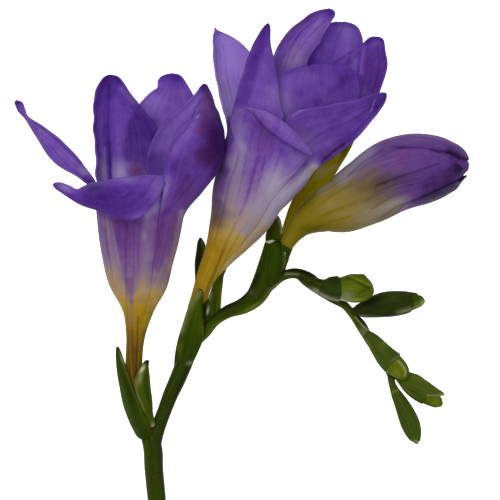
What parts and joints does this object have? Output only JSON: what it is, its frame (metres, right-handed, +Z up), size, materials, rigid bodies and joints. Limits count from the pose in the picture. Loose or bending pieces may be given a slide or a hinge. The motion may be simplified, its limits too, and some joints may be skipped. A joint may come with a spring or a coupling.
{
  "type": "freesia flower spray",
  "caption": "Cut freesia spray lying on its side, with open and half-open violet blooms, leafy bracts and green buds on a zigzag stem.",
  "frame": {"origin": "middle of the spray's footprint, on the surface it lies on", "axes": "+Z up from the surface, +Y from the cut end of the stem towards the blooms, +X to the right as in the picture"},
  "size_m": [0.0914, 0.1348, 0.031],
  "materials": {
    "stem": "satin green plant stem",
    "left_bloom": "soft violet petal with a yellow base",
    "middle_bloom": "soft violet petal with a yellow base",
    "right_bloom": "soft violet petal with an olive yellow base",
    "stamens": "pale filament",
    "green_tepal": "satin yellow green",
    "bracts": "satin leaf green",
    "buds": "satin light green"
  },
  "bodies": {
    "root": {"stem": "stem", "left_bloom": "left_bloom", "left_stamens": "stamens", "middle_bloom": "middle_bloom", "middle_stamens": "stamens", "right_bloom": "right_bloom", "green_tepal": "green_tepal", "left_bract_1": "bracts", "left_bract_2": "bracts", "middle_bract_front": "bracts", "middle_bract_left": "bracts", "middle_bract_right": "bracts", "right_bract_upper": "bracts", "right_bract_lower": "bracts", "bud_1": "buds", "bud_2": "buds", "bud_3": "buds", "bud_4": "buds", "bud_5": "buds"}
  },
  "joints": []
}
